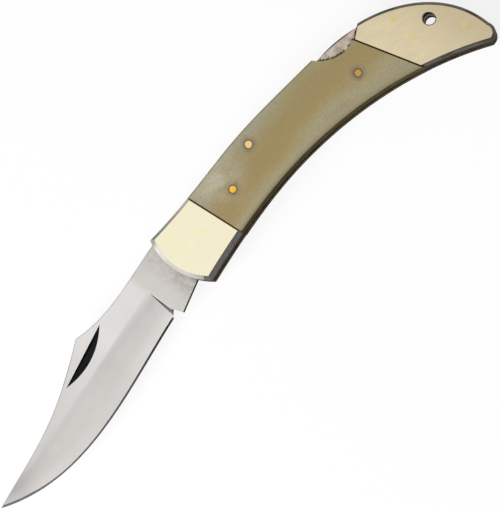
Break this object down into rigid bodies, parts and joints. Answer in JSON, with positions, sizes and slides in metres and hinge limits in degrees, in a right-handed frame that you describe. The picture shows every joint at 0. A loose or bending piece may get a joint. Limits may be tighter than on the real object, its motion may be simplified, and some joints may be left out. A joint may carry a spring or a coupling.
{
  "type": "folding pocket knife",
  "caption": "Lock-back folding pocket knife with a clip-point blade, polished metal bolsters, bone-toned scales, a thumb notch over the lock bar and a lanyard hole in the curved butt.",
  "frame": {"origin": "on the blade pivot's axis, in the plane of the right side, on which the open knife lies", "axes": "+X from the pivot to the butt (the tip is at -X), +Y towards the back and the spine, +Z from the right side to the left side, which has the nail nick"},
  "size_m": [0.2189, 0.0537, 0.0126],
  "materials": {
    "nickel_silver": "polished pale nickel silver, fine straight scratches",
    "horn": "polished olive-tan horn, cloudy and finely speckled",
    "liner_brass": "dull brass sheet",
    "blade_steel": "satin stainless steel",
    "lock_steel": "ground steel",
    "spring_steel": "dark tempered spring steel",
    "bolster_pin_brass": "brass pin, ground flush",
    "scale_pin_brass": "warm polished brass, ground flush"
  },
  "bodies": {
    "handle": {"front_bolster_left": "nickel_silver", "scale_left": "horn", "rear_bolster_left": "nickel_silver", "liner_left": "liner_brass", "front_bolster_right": "nickel_silver", "scale_right": "horn", "rear_bolster_right": "nickel_silver", "liner_right": "liner_brass", "lock_spring": "spring_steel", "butt_spacer": "liner_brass", "blade_pivot_pin": "bolster_pin_brass", "upper_spring_pin": "bolster_pin_brass", "lower_spring_pin": "bolster_pin_brass", "butt_pin": "bolster_pin_brass", "lock_bar_pin": "scale_pin_brass", "front_scale_rivet_left": "scale_pin_brass", "front_scale_rivet_right": "scale_pin_brass", "rear_scale_rivet_left": "scale_pin_brass", "rear_scale_rivet_right": "scale_pin_brass", "bolster_rivet_left": "bolster_pin_brass", "bolster_rivet_right": "bolster_pin_brass"},
    "blade": {"blade": "blade_steel"},
    "lock_bar": {"lock_bar": "lock_steel"}
  },
  "joints": [
    {"name": "blade_fold", "type": "hinge", "parent": "handle", "child": "blade", "pos_m": [0, 0, 0.0063], "axis": [0, 0, 1], "range_deg": [0, 161]},
    {"name": "lock_bar_rock", "type": "hinge", "parent": "handle", "child": "lock_bar", "pos_m": [0.0317, 0.0043, 0.0063], "axis": [0, 0, 1], "range_deg": [0, 2.2], "stiffness_Nm_per_rad": 4, "springref_deg": 13.75, "deforming": ["lock_spring"]}
  ]
}
